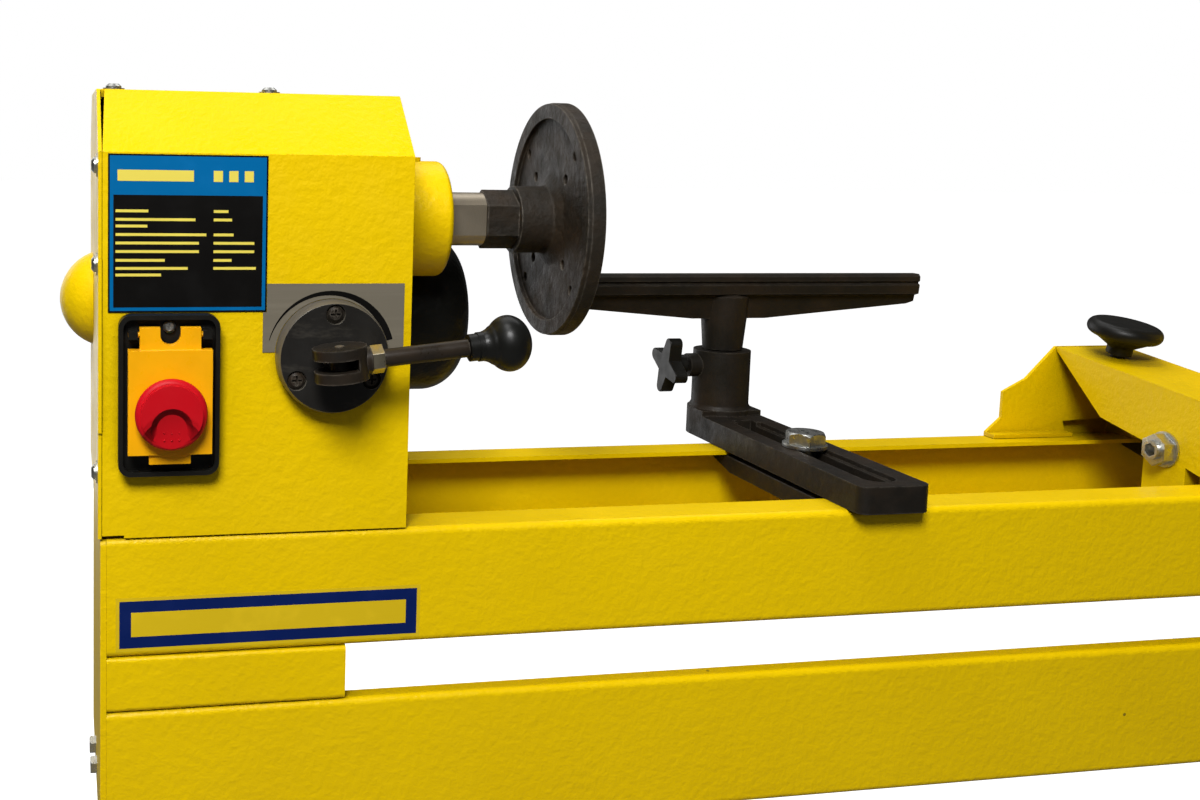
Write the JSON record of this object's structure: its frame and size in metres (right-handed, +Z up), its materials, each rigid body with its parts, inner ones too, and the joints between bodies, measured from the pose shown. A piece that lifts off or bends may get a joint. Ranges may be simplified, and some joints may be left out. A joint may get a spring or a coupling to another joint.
{
  "type": "wood lathe",
  "caption": "Floor-standing variable-speed wood lathe: yellow tube bed on splayed legs, headstock with faceplate and speed lever, tool rest on a banjo, tailstock.",
  "frame": {"origin": "on the floor, at the centre of the rectangle round the four feet, under the middle of the bed", "axes": "+X along the bed from the headstock to the tailstock, +Y from the operator's side to the back, +Z up"},
  "size_m": [1.516, 0.53, 1.1314],
  "materials": {
    "yellow_paint": "gloss",
    "black_paint": "satin",
    "cast_iron": "rough",
    "polished_steel": "satin",
    "zinc_steel": "satin",
    "blackened_steel": "satin",
    "black_plastic": "satin",
    "orange_plastic": "gloss",
    "red_plastic": "gloss",
    "green_plastic": "gloss",
    "belt_rubber": "matte",
    "label_film": "satin",
    "scale_film": "satin"
  },
  "bodies": {
    "bed": {"front_rail": "yellow_paint", "rear_rail": "yellow_paint", "front_lower_rail": "yellow_paint", "rail_spacers": "yellow_paint", "end_plates": "yellow_paint", "front_leg_left": "black_paint", "rear_leg_left": "black_paint", "front_leg_right": "black_paint", "rear_leg_right": "black_paint", "leg_braces": "black_paint", "frame_bolts": "zinc_steel", "headstock_case": "yellow_paint", "side_cover": "yellow_paint", "case_screws": "zinc_steel", "bearing_housing": "yellow_paint", "spindle_bearings": "polished_steel", "motor_case": "black_paint", "drive_belt": "belt_rubber", "lever_flange": "blackened_steel", "flange_screws": "blackened_steel", "speed_scale": "scale_film", "rating_label": "label_film", "switch_base": "black_plastic", "fork_guide_rod": "zinc_steel", "cable_gland": "black_plastic"},
    "spindle": {"spindle": "polished_steel", "spindle_fixed_sheave": "polished_steel", "faceplate": "cast_iron"},
    "spindle_slider": {"spindle_sliding_sheave": "polished_steel"},
    "motor_rotor": {"motor_shaft": "polished_steel", "motor_fixed_sheave": "polished_steel"},
    "motor_slider": {"motor_sliding_sheave": "polished_steel", "sheave_spring": "polished_steel"},
    "speed_lever": {"lever_shaft": "blackened_steel", "lever_pin": "polished_steel"},
    "lever_handle": {"handle_fork": "blackened_steel", "handle_rod": "blackened_steel", "handle_nut": "zinc_steel", "handle_knob": "black_plastic"},
    "shifter": {"shift_fork": "cast_iron"},
    "flap": {"switch_flap": "orange_plastic"},
    "stop_button": {"stop_button": "red_plastic"},
    "start_button": {"start_button": "green_plastic"},
    "carriage": {"clamp_plate": "cast_iron", "clamp_bolt": "zinc_steel"},
    "washer": {"clamp_washer": "zinc_steel"},
    "banjo": {"banjo": "cast_iron"},
    "rest_post": {"tool_rest_post": "cast_iron"},
    "rest": {"tool_rest": "cast_iron"},
    "rest_knob": {"tool_rest_knob": "black_plastic"},
    "tailstock": {"tail_saddle": "yellow_paint", "tail_barrel": "yellow_paint", "stop_bolt": "zinc_steel", "tail_clamp_plate": "cast_iron"},
    "quill": {"quill": "polished_steel"},
    "live_centre": {"live_centre": "polished_steel"},
    "handwheel": {"feed_screw": "polished_steel", "handwheel": "cast_iron"},
    "quill_lock": {"quill_lock": "cast_iron"},
    "saddle_knob": {"saddle_knob": "black_plastic"}
  },
  "joints": [
    {"name": "spindle_spin", "type": "hinge", "parent": "bed", "child": "spindle", "pos_m": [-0.52, 0, 1.053], "axis": [1, 0, 0], "continuous": true},
    {"name": "spindle_sheave_slide", "type": "slide", "parent": "spindle", "child": "spindle_slider", "axis": [-1, 0, 0], "range_m": [0, 0.0074]},
    {"name": "motor_spin", "type": "hinge", "parent": "bed", "child": "motor_rotor", "pos_m": [-0.62, 0.062, 0.986], "axis": [1, 0, 0], "continuous": true},
    {"name": "motor_sheave_slide", "type": "slide", "parent": "motor_rotor", "child": "motor_slider", "axis": [-1, 0, 0], "range_m": [0, 0.0074], "deforming": ["sheave_spring"]},
    {"name": "speed_lever_turn", "type": "hinge", "parent": "bed", "child": "speed_lever", "pos_m": [-0.5957, -0.11, 0.9816], "axis": [0, -1, 0], "range_deg": [0, 120]},
    {"name": "lever_handle_fold", "type": "hinge", "parent": "speed_lever", "child": "lever_handle", "pos_m": [-0.5957, -0.122, 0.9816], "axis": [0.1045, 0, -0.9945], "range_deg": [0, 60]},
    {"name": "shift_fork_slide", "type": "slide", "parent": "bed", "child": "shifter", "axis": [-1, 0, 0], "range_m": [0, 0.0074], "deforming": ["drive_belt"]},
    {"name": "switch_flap_hinge", "type": "hinge", "parent": "bed", "child": "flap", "pos_m": [-0.6866, -0.106, 0.996], "axis": [-1, 0, 0], "range_deg": [0, 110]},
    {"name": "stop_press", "type": "slide", "parent": "flap", "child": "stop_button", "axis": [0, 1, 0], "range_m": [0, 0.003], "stiffness_N_per_m": 500},
    {"name": "start_press", "type": "slide", "parent": "bed", "child": "start_button", "axis": [0, 1, 0], "range_m": [0, 0.003], "stiffness_N_per_m": 300},
    {"name": "carriage_slide", "type": "slide", "parent": "bed", "child": "carriage", "axis": [1, 0, 0], "range_m": [-0.06, 0.15]},
    {"name": "banjo_swivel", "type": "hinge", "parent": "carriage", "child": "washer", "pos_m": [-0.243, 0, 0.9], "axis": [0, 0, 1], "range_deg": [-30, 15]},
    {"name": "banjo_slide", "type": "slide", "parent": "washer", "child": "banjo", "axis": [0, 1, 0], "range_m": [-0.078, 0.076]},
    {"name": "rest_lift", "type": "slide", "parent": "banjo", "child": "rest_post", "axis": [0, 0, 1], "range_m": [0, 0.035]},
    {"name": "rest_swivel", "type": "hinge", "parent": "rest_post", "child": "rest", "pos_m": [-0.243, 0.124, 0.96], "axis": [0, 0, 1], "range_deg": [-90, 90]},
    {"name": "rest_knob_turn", "type": "hinge", "parent": "banjo", "child": "rest_knob", "pos_m": [-0.28, 0.124, 0.934], "axis": [-1, 0, 0], "range_deg": [0, 360]},
    {"name": "tailstock_slide", "type": "slide", "parent": "bed", "child": "tailstock", "axis": [1, 0, 0], "range_m": [-0.12, 0.475]},
    {"name": "handwheel_turn", "type": "hinge", "parent": "tailstock", "child": "handwheel", "pos_m": [0.287, 0, 1.053], "axis": [1, 0, 0], "range_deg": [0, 5220]},
    {"name": "quill_slide", "type": "slide", "parent": "tailstock", "child": "quill", "axis": [-1, 0, 0], "range_m": [0, 0.058]},
    {"name": "live_centre_spin", "type": "hinge", "parent": "quill", "child": "live_centre", "pos_m": [0.1, 0, 1.053], "axis": [1, 0, 0], "continuous": true},
    {"name": "quill_lock_turn", "type": "hinge", "parent": "tailstock", "child": "quill_lock", "pos_m": [0.155, 0, 1.085], "axis": [0, 0, 1], "range_deg": [0, 90]},
    {"name": "saddle_knob_turn", "type": "hinge", "parent": "tailstock", "child": "saddle_knob", "pos_m": [0.051, 0.057, 0.94688], "axis": [0.0687, -0.1736, 0.9824], "range_deg": [0, 360]}
  ],
  "couplings": [
    {"joint": "motor_spin", "follows": "spindle_spin", "ratio": 0.61538},
    {"joint": "shift_fork_slide", "follows": "speed_lever_turn", "m_per_rad": 0.0035332},
    {"joint": "spindle_sheave_slide", "follows": "speed_lever_turn", "m_per_rad": 0.0035332},
    {"joint": "motor_sheave_slide", "follows": "speed_lever_turn", "m_per_rad": 0.0035332},
    {"joint": "quill_slide", "follows": "handwheel_turn", "m_per_rad": 0.00063662}
  ]
}
